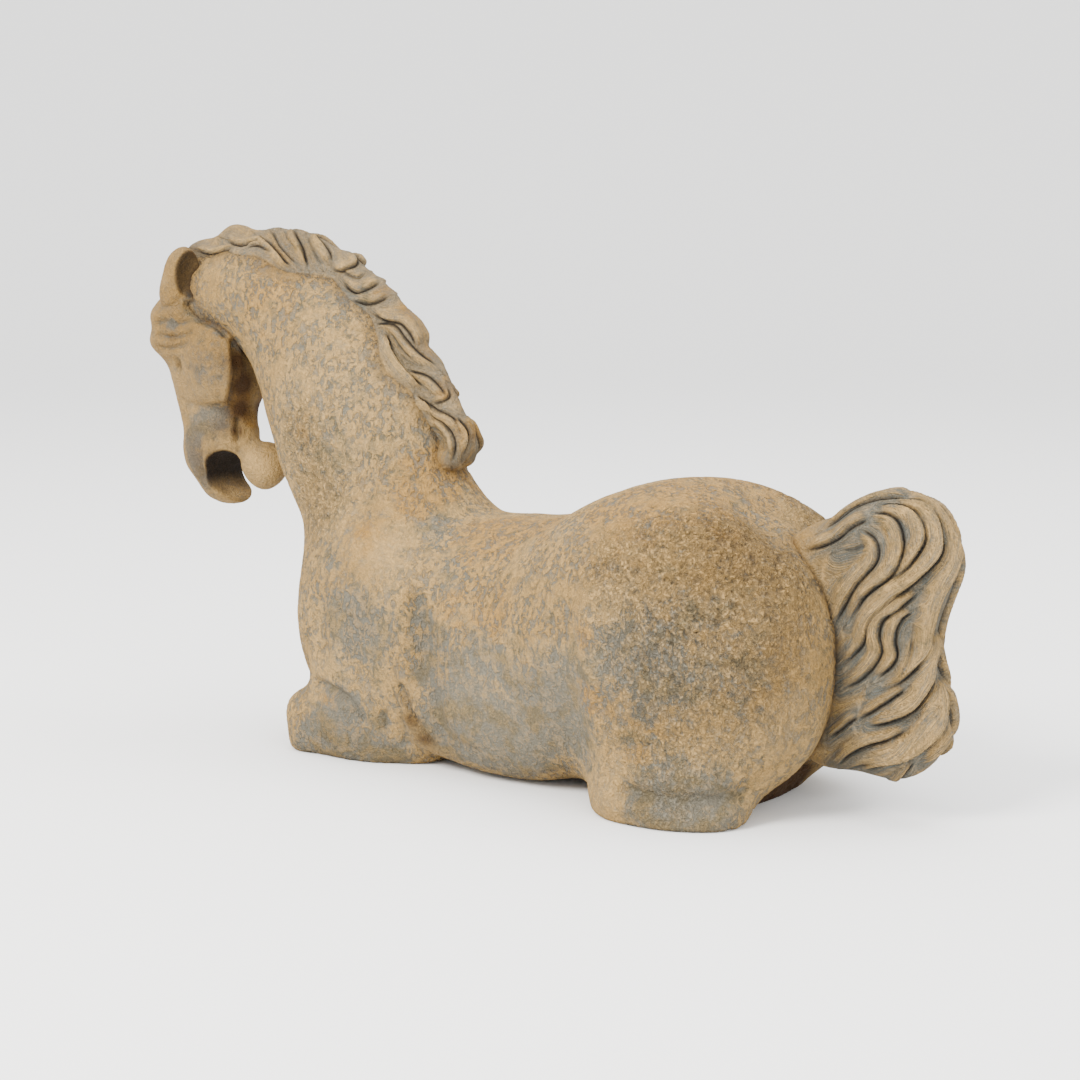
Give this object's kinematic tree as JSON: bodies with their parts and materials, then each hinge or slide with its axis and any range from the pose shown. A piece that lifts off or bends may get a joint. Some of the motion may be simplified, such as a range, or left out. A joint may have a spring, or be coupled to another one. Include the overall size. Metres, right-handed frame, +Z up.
{
  "type": "recumbent horse statue",
  "caption": "Tomb figure of a resting horse with folded legs, arched neck, carved mane and a broad arching tail, cast in one piece to stand on its flat underside.",
  "frame": {"origin": "bottom centre of the bounding box", "axes": "+Z up, the head towards -X, the tail towards +X, the flanks along Y"},
  "size_m": [0.8108, 0.2776, 0.4681],
  "materials": {
    "cast_clay": "dry pitted cast clay, ochre over blue-grey, weathered"
  },
  "bodies": {
    "root": {"horse": "cast_clay"}
  },
  "joints": []
}
